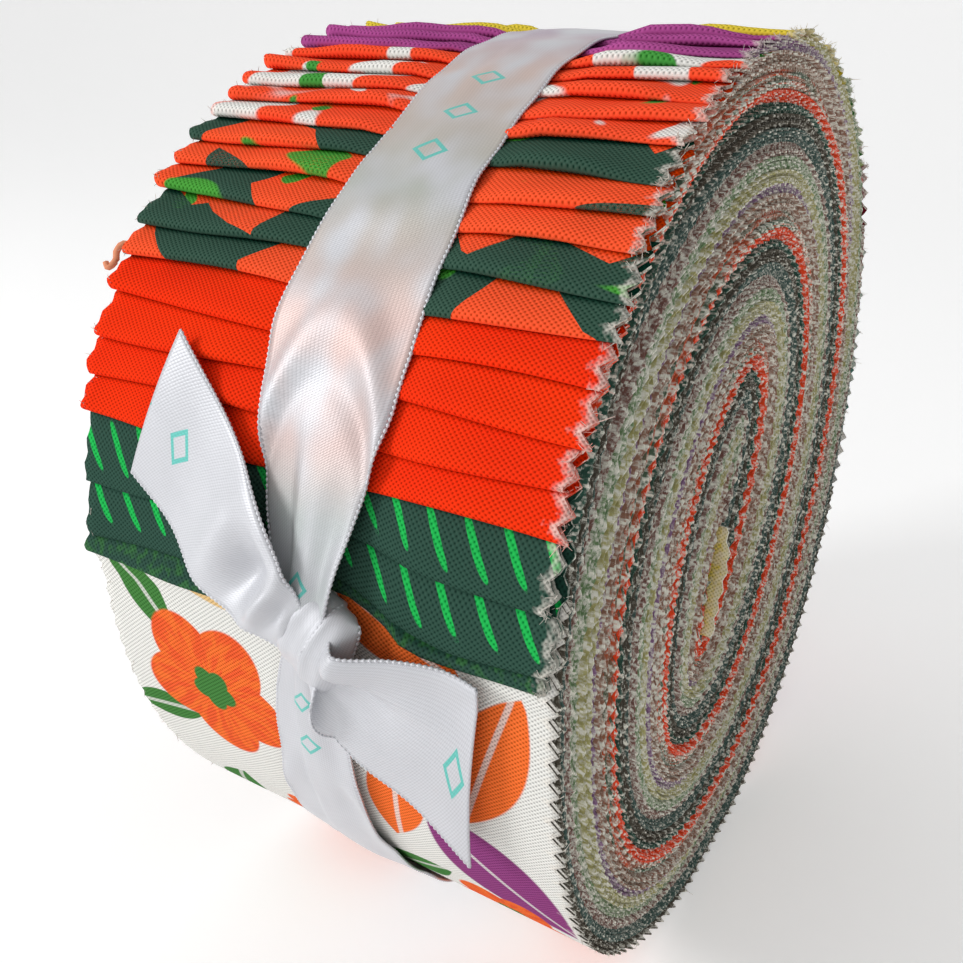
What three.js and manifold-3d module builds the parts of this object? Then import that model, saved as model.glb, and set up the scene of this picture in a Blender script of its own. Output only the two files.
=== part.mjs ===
// A roll of folded cotton strips, held by one length of satin ribbon that is tied in a knot at the front.
// Millimetres, +Z up. The roll's axis runs along X and the roll rests on a small flat spot.
// Angles go round the roll in degrees, as seen from +X: 0 is the back, 90 the top, 180 the front.
import * as THREE from 'three';
import { mergeVertices } from 'three/addons/utils/BufferGeometryUtils.js';
import Module from 'manifold-3d';

const wasm = await Module();
wasm.setup();

// The wound strips
const STRIP_WIDTH = 63.5;
const AXIS_HEIGHT = 60.2;
const FOLD_RISE = 1.5;
const FOLD_WANDER = 0.45;
const WANDER_LENGTH = 9;
const EDGE_ROUND = 0.9;
const SMOOTH_STEP = 6;

// Mean radius under the folds, eased between the rows. The roll steps in below its last fold.
const ENVELOPE = [
  { angle: -28, radius: 61.2 },
  { angle: 30, radius: 61.9 },
  { angle: 90, radius: 61.7 },
  { angle: 112, radius: 60.6 },
  { angle: 145, radius: 60.9 },
  { angle: 178, radius: 60.6 },
  { angle: 181, radius: 59.9 },
  { angle: 215, radius: 60.4 },
  { angle: 270, radius: 61.1 },
  { angle: 332, radius: 61.2 },
];

// Folded strip ends, lying like shingles. Each print's lowest fold is at last, and lean is how far its
// folds slope across the roll.
const FOLD_GROUPS = [
  { print: 'white blossom', folds: 3, last: -8, lean: 1.0 },
  { print: 'plum', folds: 4, last: 18, lean: -1.5 },
  { print: 'olive', folds: 4, last: 41, lean: 1.2 },
  { print: 'teal leaf', folds: 5, last: 69, lean: -0.8 },
  { print: 'yellow', folds: 4, last: 91, lean: 0.6 },
  { print: 'purple', folds: 3, last: 105, lean: 1.6 },
  { print: 'orange blossom', folds: 5, last: 124, lean: 0.8 },
  { print: 'leaf and orange', folds: 5, last: 144.8, lean: 2.0 },
  { print: 'orange red', folds: 4, last: 162.6, lean: 1.8 },
  { print: 'deep green', folds: 3, last: 178, lean: -0.4 },
];
const FIRST_FOLD_START = -28;

// Rise of one folded end along its share of the way to the next fold
const FOLD_SECTION = [
  { share: 0.05, rise: 0 },
  { share: 0.42, rise: 0.52 },
  { share: 0.78, rise: 0.94 },
  { share: 0.92, rise: 1 },
  { share: 0.985, rise: 0.66 },
];

// The turns seen on the end faces: a flat slit at the core and the seam of the stack winding out from it
const CORE_Y = -10.5;
const CORE_Z = -2;
const SLIT_ANGLE = 69;
const SLIT_HALF_LENGTH = 13.5;
const SLIT_SHARE = 0.026;
const SLIT_DEPTH = 3;
const SLIT_STEPS = 28;
const SEAM_DEPTH = 1.6;
const SEAM_HALF_SHARE = 0.012;
const SEAM_TURNS = 2.55;
const SEAM_END_ANGLE = 172;
const SEAM_SHARES = { inner: 0.12, outer: 0.965 };
const SEAM_STEPS_PER_TURN = 30;

// The ribbon
const RIBBON_WIDTH = 16;
const RIBBON_THICKNESS = 1;
const GATHERED_WIDTH = 9;
const GATHER_SPREAD = 15;
const BAND_X = { top: 2.8, bottom: -1.2 };
const BAND_RECESS = 0.7;
const BAND_FOLD_SHARE = 0.4;
const BAND_MARGIN = 0.5;
const BAND_EASE = 0.8;
const BAND_STEPS = 108;
const CLEARANCE = 0.55;
const KNOT_ANGLE = 178;
const KNOT_X = 1.8;
const KNOT_LIFT = 3.9;
const KNOT_HALF = { x: 4.7, radial: 3.4, around: 5.4 };
const KNOT_RIDGE = 0.09;

// Free ends of the ribbon, a row for each line across it. Each side is given by its place along the roll,
// its height above the knot measured round the roll, and how far it stands off the folds.
const UPPER_END = [
  { x1: -1.2, up1: -0.5, off1: 1.4, x2: 3.0, up2: 3.6, off2: 1.4 },
  { x1: -4.6, up1: 0.0, off1: 1.6, x2: 2.4, up2: 7.6, off2: 2.6 },
  { x1: -9.8, up1: 2.0, off1: 0.8, x2: 0.6, up2: 12.4, off2: 2.0 },
  { x1: -15.7, up1: 7.0, off1: 0.6, x2: -4.6, up2: 18.8, off2: 1.2 },
  { x1: -21.7, up1: 13.3, off1: 1.0, x2: -15.8, up2: 29.4, off2: 2.2 },
];
const LOWER_END = [
  { x1: 4.0, up1: 2.4, off1: 1.6, x2: 1.0, up2: -2.6, off2: 2.0 },
  { x1: 8.4, up1: 1.0, off1: 1.8, x2: 5.4, up2: -6.4, off2: 2.2 },
  { x1: 15.0, up1: 1.4, off1: 0.8, x2: 9.4, up2: -13.0, off2: 1.6 },
  { x1: 20.6, up1: 1.4, off1: 0.6, x2: 15.4, up2: -18.4, off2: 1.2 },
  { x1: 24.6, up1: -0.6, off1: 1.2, x2: 22.4, up2: -23.6, off2: 2.2 },
];
const END_ACROSS = 6;
const END_ALONG = 16;

const HALF_WIDTH = STRIP_WIDTH / 2;
const FULL_TURN = 360;
const COTTON = new THREE.MeshStandardMaterial({ color: 0xd9571a, roughness: 0.9, metalness: 0 });
const SATIN = new THREE.MeshStandardMaterial({ color: 0xe3e3e6, roughness: 0.4, metalness: 0 });

const toRadians = THREE.MathUtils.degToRad;
const lerp = THREE.MathUtils.lerp;

// Radius under the folds at an angle from FIRST_FOLD_START up to one full turn more.
function envelopeAt(angle) {
  const turned = THREE.MathUtils.euclideanModulo(angle - FIRST_FOLD_START, FULL_TURN) + FIRST_FOLD_START;
  const next = ENVELOPE.findIndex((row) => row.angle > turned);
  const from = ENVELOPE[next - 1];
  const to = ENVELOPE[next];
  const share = THREE.MathUtils.smoothstep(turned, from.angle, to.angle);
  return lerp(from.radius, to.radius, share);
}

// Radius at which a level cut, drop below the roll's axis, meets an angle; beyond any roll above the axis.
function levelCut(angle, drop) {
  const down = -Math.sin(toRadians(angle));
  return down > 0.5 ? drop / down : Infinity;
}

// Every fold line, from the back over the top to the front.
function foldLines() {
  const lines = [{ angle: FIRST_FOLD_START, lean: 0 }];
  for (const group of FOLD_GROUPS) {
    const start = lines[lines.length - 1].angle;
    for (let fold = 1; fold <= group.folds; fold += 1) {
      lines.push({ angle: lerp(start, group.last, fold / group.folds), lean: group.lean });
    }
  }
  return lines;
}

const LINES = foldLines();

// Angle of a fold line at a place along the roll.
function lineAngle(index, x) {
  const line = LINES[index];
  const wander = index === 0 ? 0 : FOLD_WANDER * Math.sin(index * 2.1 + x / WANDER_LENGTH);
  return line.angle + line.lean * (x / STRIP_WIDTH) + wander;
}

// Places round the roll where its surface has a line: some on each fold, then even steps on the smooth strip.
function surfaceLines() {
  const places = [];
  for (let index = 1; index < LINES.length; index += 1) {
    for (const row of FOLD_SECTION) {
      places.push({ index, share: row.share, rise: row.rise });
    }
  }
  const start = LINES[LINES.length - 1].angle + 1.2;
  const end = FIRST_FOLD_START + FULL_TURN;
  const steps = Math.round((end - start) / SMOOTH_STEP);
  for (let step = 0; step < steps; step += 1) {
    places.push({ angle: lerp(start, end, step / steps), rise: 0 });
  }
  return places;
}

function angleOf(place, x) {
  if (place.angle !== undefined) {
    return place.angle;
  }
  return lerp(lineAngle(place.index - 1, x), lineAngle(place.index, x), place.share);
}

// Middle of the ribbon band along the roll: it drifts a little from the top to the underside.
function bandMiddle(angle) {
  const share = (1 - Math.sin(toRadians(angle))) / 2;
  return lerp(BAND_X.top, BAND_X.bottom, share);
}

// Half the band's width, which gathers towards the knot.
function bandHalf(angle) {
  const turned = THREE.MathUtils.euclideanModulo(angle, FULL_TURN);
  const share = THREE.MathUtils.smoothstep(Math.abs(turned - KNOT_ANGLE), 0, GATHER_SPREAD);
  return lerp(GATHERED_WIDTH, RIBBON_WIDTH, share) / 2;
}

// A place on the roll's outside.
function onRoll(x, angle, radius) {
  return new THREE.Vector3(
    x,
    radius * Math.cos(toRadians(angle)),
    AXIS_HEIGHT + radius * Math.sin(toRadians(angle)),
  );
}

// Closes a geometry whose vertices were moved, keeping places only.
function closed(geometry) {
  geometry.deleteAttribute('normal');
  geometry.deleteAttribute('uv');
  return mergeVertices(geometry, 1e-4);
}

function toSolid(geometry) {
  const mesh = new wasm.Mesh({
    numProp: 3,
    vertProperties: new Float32Array(geometry.attributes.position.array),
    triVerts: new Uint32Array(geometry.index.array),
  });
  return new wasm.Manifold(mesh);
}

function fromSolid(solid) {
  const mesh = solid.getMesh();
  const geometry = new THREE.BufferGeometry();
  geometry.setAttribute('position', new THREE.BufferAttribute(new Float32Array(mesh.vertProperties), 3));
  geometry.setIndex(new THREE.BufferAttribute(new Uint32Array(mesh.triVerts), 1));
  return geometry;
}

// Columns of points along the roll. edge draws in the ends, band is the ribbon's seat.
const COLUMNS = [
  { at: () => -HALF_WIDTH, edge: 'rim', band: 0 },
  { at: () => -HALF_WIDTH + EDGE_ROUND, edge: 'none', band: 0 },
  { at: (angle) => (bandEdge(angle, -1, BAND_EASE) - HALF_WIDTH) / 2, edge: 'none', band: 0 },
  { at: (angle) => bandEdge(angle, -1, BAND_EASE), edge: 'none', band: 0 },
  { at: (angle) => bandEdge(angle, -1, 0), edge: 'none', band: 1 },
  { at: (angle) => bandEdge(angle, 1, 0), edge: 'none', band: 1 },
  { at: (angle) => bandEdge(angle, 1, BAND_EASE), edge: 'none', band: 0 },
  { at: (angle) => (bandEdge(angle, 1, BAND_EASE) + HALF_WIDTH) / 2, edge: 'none', band: 0 },
  { at: () => HALF_WIDTH - EDGE_ROUND, edge: 'none', band: 0 },
  { at: () => HALF_WIDTH, edge: 'rim', band: 0 },
];

function bandEdge(angle, side, ease) {
  return bandMiddle(angle) + side * (bandHalf(angle) + BAND_MARGIN + ease);
}

// Where one surface line of the roll meets one column.
function rollPoint(place, column) {
  const x = column.at(angleOf(place, 0));
  const angle = angleOf(place, x);
  const foldShare = column.band ? BAND_FOLD_SHARE : 1;
  const seat = column.band * BAND_RECESS;
  const drawnIn = column.edge === 'rim' ? EDGE_ROUND : 0;
  const radius = envelopeAt(angle) + place.rise * FOLD_RISE * foldShare - seat - drawnIn;
  const floor = AXIS_HEIGHT - column.band * (RIBBON_THICKNESS + CLEARANCE);
  return onRoll(x, angle, Math.min(radius, levelCut(angle, floor)));
}

// The drum: a lathe whose meridians follow the surface lines and whose rings are the columns.
function drumGeometry() {
  const places = surfaceLines();
  const profile = [new THREE.Vector2(0, -HALF_WIDTH)];
  for (const column of COLUMNS) {
    profile.push(new THREE.Vector2(1, column.at(0)));
  }
  profile.push(new THREE.Vector2(0, HALF_WIDTH));
  const geometry = new THREE.LatheGeometry(profile, places.length);
  const position = geometry.attributes.position;
  for (let index = 0; index < position.count; index += 1) {
    const meridian = Math.floor(index / profile.length) % places.length;
    const ring = index % profile.length;
    const inner = ring === 0 || ring === profile.length - 1;
    const point = inner
      ? onRoll(profile[ring].y, 0, 0)
      : rollPoint(places[meridian], COLUMNS[ring - 1]);
    position.setXYZ(index, point.x, point.y, point.z);
  }
  return closed(geometry);
}

// A place on an end face: share 0 lies on the core's slit, share 1 on the rim.
function turnPoint(share, angle) {
  const along = SLIT_HALF_LENGTH * Math.cos(toRadians(angle - SLIT_ANGLE));
  const slitY = CORE_Y + along * Math.cos(toRadians(SLIT_ANGLE));
  const slitZ = CORE_Z + along * Math.sin(toRadians(SLIT_ANGLE));
  const rim = Math.min(envelopeAt(angle), levelCut(angle, AXIS_HEIGHT));
  const y = lerp(slitY, rim * Math.cos(toRadians(angle)), share);
  const z = lerp(slitZ, rim * Math.sin(toRadians(angle)), share);
  return new THREE.Vector2(y, AXIS_HEIGHT + z);
}

function slitShape() {
  const points = [];
  for (let step = 0; step < SLIT_STEPS; step += 1) {
    points.push(turnPoint(SLIT_SHARE, (FULL_TURN * step) / SLIT_STEPS));
  }
  return new THREE.Shape(points);
}

function seamShape() {
  const steps = Math.round(SEAM_TURNS * SEAM_STEPS_PER_TURN);
  const outward = [];
  const inward = [];
  for (let step = 0; step <= steps; step += 1) {
    const angle = SEAM_END_ANGLE - SEAM_TURNS * FULL_TURN * (1 - step / steps);
    const share = lerp(SEAM_SHARES.inner, SEAM_SHARES.outer, step / steps);
    outward.push(turnPoint(share + SEAM_HALF_SHARE, angle));
    inward.unshift(turnPoint(share - SEAM_HALF_SHARE, angle));
  }
  return new THREE.Shape([...outward, ...inward]);
}

// A cut of the given depth into one end face, from a shape drawn in Y and Z.
function endCut(shape, depth, side) {
  const geometry = new THREE.ExtrudeGeometry(shape, { depth: 2 * depth, bevelEnabled: false });
  const axes = new THREE.Matrix4().makeBasis(
    new THREE.Vector3(0, 1, 0),
    new THREE.Vector3(0, 0, 1),
    new THREE.Vector3(1, 0, 0),
  );
  geometry.applyMatrix4(axes);
  geometry.translate(side * HALF_WIDTH - depth, 0, 0);
  return toSolid(closed(geometry));
}

function woundStrips() {
  let solid = toSolid(drumGeometry());
  for (const side of [-1, 1]) {
    solid = solid.subtract(endCut(slitShape(), SLIT_DEPTH, side));
    solid = solid.subtract(endCut(seamShape(), SEAM_DEPTH, side));
  }
  return new THREE.Mesh(fromSolid(solid), COTTON);
}

// Radius of the ribbon's inner face where it lies on the folds.
function bandSeat(angle) {
  const seat = envelopeAt(angle) - BAND_RECESS + FOLD_RISE * BAND_FOLD_SHARE + CLEARANCE;
  return Math.min(seat, levelCut(angle, AXIS_HEIGHT - RIBBON_THICKNESS));
}

// The band: a square-section ring whose corners are laid on the roll.
function bandGeometry() {
  const corners = [
    { side: -1, out: 1 },
    { side: 1, out: 1 },
    { side: 1, out: 0 },
    { side: -1, out: 0 },
  ];
  const geometry = new THREE.TorusGeometry(1, 0.1, corners.length, BAND_STEPS);
  const position = geometry.attributes.position;
  for (let index = 0; index < position.count; index += 1) {
    const corner = corners[Math.floor(index / (BAND_STEPS + 1)) % corners.length];
    const angle = (FULL_TURN * (index % (BAND_STEPS + 1))) / BAND_STEPS;
    const outer = Math.min(bandSeat(angle) + RIBBON_THICKNESS, levelCut(angle, AXIS_HEIGHT));
    const radius = corner.out ? outer : bandSeat(angle);
    const point = onRoll(bandMiddle(angle) + corner.side * bandHalf(angle), angle, radius);
    position.setXYZ(index, point.x, point.y, point.z);
  }
  return closed(geometry);
}

// The knot: a rounded lump with slanting ridges where the ribbon wraps over itself.
function knotGeometry() {
  const geometry = new THREE.SphereGeometry(1, 24, 14);
  const position = geometry.attributes.position;
  const point = new THREE.Vector3();
  for (let index = 0; index < position.count; index += 1) {
    point.fromBufferAttribute(position, index);
    const ridge = 1 + KNOT_RIDGE * Math.sin(4 * point.x + 3 * point.y) * (1 - point.y * point.y);
    point.multiplyScalar(ridge);
    const radius = envelopeAt(KNOT_ANGLE) + KNOT_LIFT;
    const centre = onRoll(KNOT_X, KNOT_ANGLE, radius);
    position.setXYZ(
      index,
      centre.x + KNOT_HALF.x * point.x,
      centre.y - KNOT_HALF.radial * point.z,
      centre.z + KNOT_HALF.around * point.y,
    );
  }
  return closed(geometry);
}

// A smooth value through the rows of a free end, for a share of the way along it.
function along(rows, key, share) {
  const curve = new THREE.SplineCurve(rows.map((row, index) => new THREE.Vector2(index, row[key])));
  return curve.getPoint(share).y;
}

// A free end: a thin box whose length and width follow the rows.
function freeEndGeometry(rows) {
  const geometry = new THREE.BoxGeometry(1, 1, 1, END_ACROSS, END_ALONG, 1);
  const position = geometry.attributes.position;
  const point = new THREE.Vector3();
  for (let index = 0; index < position.count; index += 1) {
    point.fromBufferAttribute(position, index);
    const across = point.x + 0.5;
    const share = point.y + 0.5;
    const x = lerp(along(rows, 'x1', share), along(rows, 'x2', share), across);
    const up = lerp(along(rows, 'up1', share), along(rows, 'up2', share), across);
    const off = lerp(along(rows, 'off1', share), along(rows, 'off2', share), across);
    const angle = KNOT_ANGLE - THREE.MathUtils.radToDeg(up / envelopeAt(KNOT_ANGLE));
    const folds = Math.max(envelopeAt(angle), envelopeAt(KNOT_ANGLE)) + FOLD_RISE + CLEARANCE;
    const radius = folds + off + (point.z + 0.5) * RIBBON_THICKNESS;
    const placed = onRoll(x, angle, radius);
    position.setXYZ(index, placed.x, placed.y, placed.z);
  }
  return closed(geometry);
}

function tieRibbon() {
  const pieces = [knotGeometry(), freeEndGeometry(UPPER_END), freeEndGeometry(LOWER_END)];
  let solid = toSolid(bandGeometry());
  for (const piece of pieces) {
    solid = solid.add(toSolid(piece));
  }
  return new THREE.Mesh(fromSolid(solid), SATIN);
}

const roll = new THREE.Group();
const strips = woundStrips();
strips.name = 'wound_strips';
const ribbon = tieRibbon();
ribbon.name = 'tie_ribbon';
roll.add(strips, ribbon);

// The origin is on the surface, midway between the roll's back and the knot's front.
const reach = new THREE.Box3().setFromObject(roll);
roll.position.set(-(reach.min.x + reach.max.x) / 2, -(reach.min.y + reach.max.y) / 2, -reach.min.z);

export default roll;
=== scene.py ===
"""Looks of a roll of folded cotton strips, wound like shingles and tied with a satin ribbon.

The classes hold sizes in millimetres and angles in degrees; a mesh gets metres when it is made.
Angles go round the roll as seen from +X: 0 is the back, 90 the top, 180 the front, 270 the underside.
"""

import logging
import math
from collections.abc import Callable
from dataclasses import dataclass, field
from enum import Enum, auto

import bmesh
import bpy
import numpy as np
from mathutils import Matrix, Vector


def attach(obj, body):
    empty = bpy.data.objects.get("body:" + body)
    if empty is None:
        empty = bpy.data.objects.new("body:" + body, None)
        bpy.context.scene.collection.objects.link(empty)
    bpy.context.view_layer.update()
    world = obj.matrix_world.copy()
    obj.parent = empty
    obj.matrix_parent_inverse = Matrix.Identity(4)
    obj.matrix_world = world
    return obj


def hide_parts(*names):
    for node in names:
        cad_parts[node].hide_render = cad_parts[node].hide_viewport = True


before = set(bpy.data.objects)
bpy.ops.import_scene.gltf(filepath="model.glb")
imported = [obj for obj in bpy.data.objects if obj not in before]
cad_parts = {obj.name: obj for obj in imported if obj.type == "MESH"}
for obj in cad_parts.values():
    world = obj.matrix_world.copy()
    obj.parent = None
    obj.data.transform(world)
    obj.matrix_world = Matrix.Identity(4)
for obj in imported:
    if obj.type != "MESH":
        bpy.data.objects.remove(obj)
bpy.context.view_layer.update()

LOG = logging.getLogger("strip_roll")
MM = 0.001
BODY = "root"
ROLL_NODE = "wound_strips"
TIE_NODE = "tie_ribbon"
SEED = 2357
# Distance from the strip over it, for cloth that nothing covers; the cloth's material paints shade where
# this distance is small
UNCOVERED = 9.0
RIBBON_RADIUS = 61.5
RIBBON_ROUND = 2.0 * math.pi * RIBBON_RADIUS

Colour = tuple[float, float, float]


def srgb(red: int, green: int, blue: int) -> Colour:
    """Linear colour of three screen values from 0 to 255."""
    return tuple(
        c / 12.92 if c <= 0.04045 else ((c + 0.055) / 1.055) ** 2.4
        for c in (red / 255, green / 255, blue / 255)
    )


def ease(share: np.ndarray) -> np.ndarray:
    """Smooth step of a share, held between 0 and 1."""
    held = np.clip(share, 0.0, 1.0)
    return held * held * (3.0 - 2.0 * held)


def smooth_through(values: np.ndarray, share: np.ndarray) -> np.ndarray:
    """A smooth line through evenly spaced values.

    Args:
        values: The values.
        share: Places, 0 being the first value and 1 the second.
    Returns:
        Values at those places.
    """
    padded = np.concatenate([[2 * values[0] - values[1]], values, [2 * values[-1] - values[-2]]])
    index = np.clip(share.astype(int), 0, len(values) - 2)
    t = share - index
    a, b, c, d = (padded[index + step] for step in range(4))
    return 0.5 * (2 * b + (c - a) * t + (2 * a - 5 * b + 4 * c - d) * t**2 + (3 * b - a - 3 * c + d) * t**3)


def smooth_rows(table: np.ndarray, count: int) -> np.ndarray:
    """A smooth walk of that many points through the rows of a table."""
    share = np.linspace(0.0, len(table) - 1.0, count)
    return np.stack([smooth_through(column, share) for column in table.T], axis=-1)


def tube(line: np.ndarray, radius: np.ndarray, sides: int) -> np.ndarray:
    """A grid round a line.

    Args:
        line: Points of the line.
        radius: A radius for each point, as a column.
        sides: Number of sides.
    Returns:
        Rows and columns of points, the last column on the first.
    """
    ahead = np.gradient(line, axis=0)
    ahead /= np.maximum(np.linalg.norm(ahead, axis=1, keepdims=True), 1e-9)
    over = np.cross(ahead, np.array([0.31, 0.17, 0.93]))
    over /= np.maximum(np.linalg.norm(over, axis=1, keepdims=True), 1e-9)
    beside = np.cross(ahead, over)
    turn = np.linspace(0.0, 2.0 * math.pi, sides + 1)[None, :, None]
    ring = over[:, None] * np.cos(turn) + beside[:, None] * np.sin(turn)
    return line[:, None] + ring * np.asarray(radius)[:, :, None]


@dataclass(frozen=True)
class RollForm:
    """The wound form that the strips and the ribbon follow."""

    axis_y: float = 2.508
    axis_z: float = 60.2
    half_width: float = 31.75
    strips: int = 40
    first_start: float = -28.0
    last_fold: float = 178.0
    core_start: float = -831.0
    wander: float = 0.45
    wander_length: float = 9.0
    core_y: float = -10.5
    core_z: float = -2.0
    slit_angle: float = 69.0
    slit_half: float = 13.5
    slit_gap: float = 0.5
    layer_gap: float = 0.27
    # Groove in the roll's ends: depth, share of the way from the core to the rim, reach
    groove: tuple[float, float, float] = (0.9, 0.885, 0.03)
    core_inset: float = 0.8
    pull_x: float = 4.6
    pull_reach: float = 8.0
    # How far the knot draws up the folds of the innermost strips, in degrees
    pulls: tuple[float, ...] = (4.4, 4.0, 1.4)
    # Middle of the ribbon: angle going down from the knot and round to it again, place along the roll
    band_rows: tuple[tuple[float, float], ...] = (
        (178, 3.6), (183, 2.2), (188, 0.7), (194, 0.2), (200, -0.4), (208, -1.3), (270, -1.2), (360, 0.8),
        (450, 2.9), (478, 3.5), (498, 3.0), (508, 2.2), (515, 2.4), (523, 2.7), (530, 3.1), (538, 3.6),
    )
    # Mean radius under the folds: angle, radius
    envelope_rows: tuple[tuple[float, float], ...] = (
        (-28, 61.2), (30, 61.9), (74, 61.0), (92, 60.3), (112, 60.4), (145, 60.9),
        (178, 60.6), (181, 59.9), (215, 60.4), (270, 61.1), (332, 61.2),
    )
    # Where the rim departs from those rows: angle, reach, height at the far end and at the near end
    bulges: tuple[tuple[float, float, float, float], ...] = (
        (226, 24, 0.0, 2.3), (92, 22, 0.6, -0.3), (147, 18, 0.9, 0.0),
    )
    # Runs of folds over the top to the front: folds, angle of the last one, lean along the roll
    fold_runs: tuple[tuple[int, float, float], ...] = (
        (3, -8, 1.0), (4, 18, -1.5), (4, 41, 1.2), (5, 69, -0.8), (4, 91, 0.6),
        (3, 105, 1.6), (5, 124, 0.8), (5, 144.8, 2.0), (4, 162.6, 1.8), (2, 175.7, 0.4), (1, 178, -0.4),
    )

    @property
    def strip_turn(self) -> float:
        """Degrees of winding that lift a strip by one strip's thickness."""
        return 360.0 / self.strips

    @property
    def start_radius(self) -> float:
        """Radius where the folds start."""
        return self.envelope_rows[0][1]

    def envelope(self, x: np.ndarray, angle: np.ndarray) -> np.ndarray:
        """Radius under the folds.

        Args:
            x: Places along the roll.
            angle: Angles round the roll.
        Returns:
            Radii, cut level where the roll rests.
        """
        rows = np.array(self.envelope_rows)
        turned = np.mod(angle - self.first_start, 360.0) + self.first_start
        index = np.clip(np.searchsorted(rows[:, 0], turned, side="right"), 1, len(rows) - 1)
        low, high = rows[index - 1], rows[index]
        share = ease((turned - low[..., 0]) / (high[..., 0] - low[..., 0]))
        radius = low[..., 1] + (high[..., 1] - low[..., 1]) * share
        toward = np.clip(0.5 + x / (2.0 * self.half_width), 0.0, 1.0)
        for middle, reach, far, near in self.bulges:
            off = np.mod(angle - middle + 180.0, 360.0) - 180.0
            radius = radius + (far + (near - far) * toward) * np.exp(-((off / reach) ** 2))
        down = np.maximum(-np.sin(np.radians(angle)), 0.5)
        return np.minimum(radius, self.axis_z / down + np.where(down > 0.5, 0.0, 100.0))

    def fold_lines(self) -> np.ndarray:
        """Angle and lean of every fold line, the first row being where the folds start."""
        lines = [(self.first_start, 0.0)]
        for folds, last, lean in self.fold_runs:
            start = lines[-1][0]
            for fold in range(1, folds + 1):
                lines.append((start + (last - start) * fold / folds, lean))
        return np.array(lines)

    def fold_angle(self, strip: int, x: np.ndarray) -> np.ndarray:
        """Angle of a strip's folded end.

        Args:
            strip: Number of the strip, 0 being the innermost.
            x: Places along the roll.
        Returns:
            Angles of the fold line.
        """
        index = self.strips - strip
        angle, lean = self.fold_lines()[index]
        sway = self.wander * np.sin(index * 2.1 + x / self.wander_length)
        if strip < len(self.pulls):
            sway = sway - self.pulls[strip] * np.exp(-(((x - self.pull_x) / self.pull_reach) ** 2))
        return angle + lean * x / (2.0 * self.half_width) + sway

    def exposure(self, strip: int) -> float:
        """Length of a strip's end that the strip over it leaves bare."""
        lines = self.fold_lines()[:, 0]
        index = self.strips - strip
        return math.radians(lines[index] - lines[index - 1]) * self.start_radius

    def top_level(self, angle: np.ndarray) -> np.ndarray:
        """Number of strips between the core and the outside at the given angles."""
        turned = self.last_fold - np.mod(self.last_fold - angle, 360.0)
        over = np.interp(turned, self.fold_lines()[:, 0], np.arange(self.strips, -1.0, -1.0))
        return (turned - self.core_start) / self.strip_turn + over

    def level(self, strip: float, angle: np.ndarray) -> np.ndarray:
        """Number of strips under a strip at its winding angles."""
        return (angle - self.core_start) / self.strip_turn + strip

    def place(self, x: np.ndarray, angle: np.ndarray, level: np.ndarray, lift: np.ndarray) -> np.ndarray:
        """Places in the roll.

        Args:
            x: Places along the roll.
            angle: Winding angles.
            level: Numbers of strips underneath, as parts of a strip too.
            lift: Distances that the cloth stands off outwards.
        Returns:
            Points in millimetres, in the last axis.
        """
        x, angle, level, lift = np.broadcast_arrays(x, angle, level, lift)
        turn, slit = np.radians(angle), math.radians(self.slit_angle)
        rim = self.envelope(x, angle)
        along = self.slit_half * np.cos(turn - slit)
        aside = self.slit_gap * np.sin(turn - slit)
        slit_y = self.core_y + along * math.cos(slit) - aside * math.sin(slit)
        slit_z = self.core_z + along * math.sin(slit) + aside * math.cos(slit)
        share = level / self.top_level(angle)
        y = slit_y + (rim * np.cos(turn) - slit_y) * share + lift * np.cos(turn)
        z = slit_z + (rim * np.sin(turn) - slit_z) * share + lift * np.sin(turn)
        return np.stack([x, self.axis_y + y, self.axis_z + z], axis=-1)

    def drawn_in(self, share: np.ndarray) -> np.ndarray:
        """How far layers lie inside the roll's ends, by their share of the way from the core to the rim."""
        depth, middle, reach = self.groove
        hollow = depth * np.exp(-(((share - middle) / reach) ** 2))
        return hollow + self.core_inset * np.clip(1.0 - share, 0.0, 1.0) ** 2

    def on_rim(self, x: np.ndarray, angle: np.ndarray, lift: np.ndarray) -> np.ndarray:
        """Points that stand a lift off the radius under the folds."""
        x, angle, lift = np.broadcast_arrays(x, angle, lift)
        radius, turn = self.envelope(x, angle) + lift, np.radians(angle)
        y, z = self.axis_y + radius * np.cos(turn), self.axis_z + radius * np.sin(turn)
        return np.stack([x, y, z], axis=-1)

    def band_middle(self, angle: np.ndarray) -> np.ndarray:
        """Middle of the ribbon band along the roll."""
        rows = np.array(self.band_rows)
        turned = np.mod(angle - rows[0, 0], 360.0) + rows[0, 0]
        return np.interp(turned, rows[:, 0], rows[:, 1])


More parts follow.
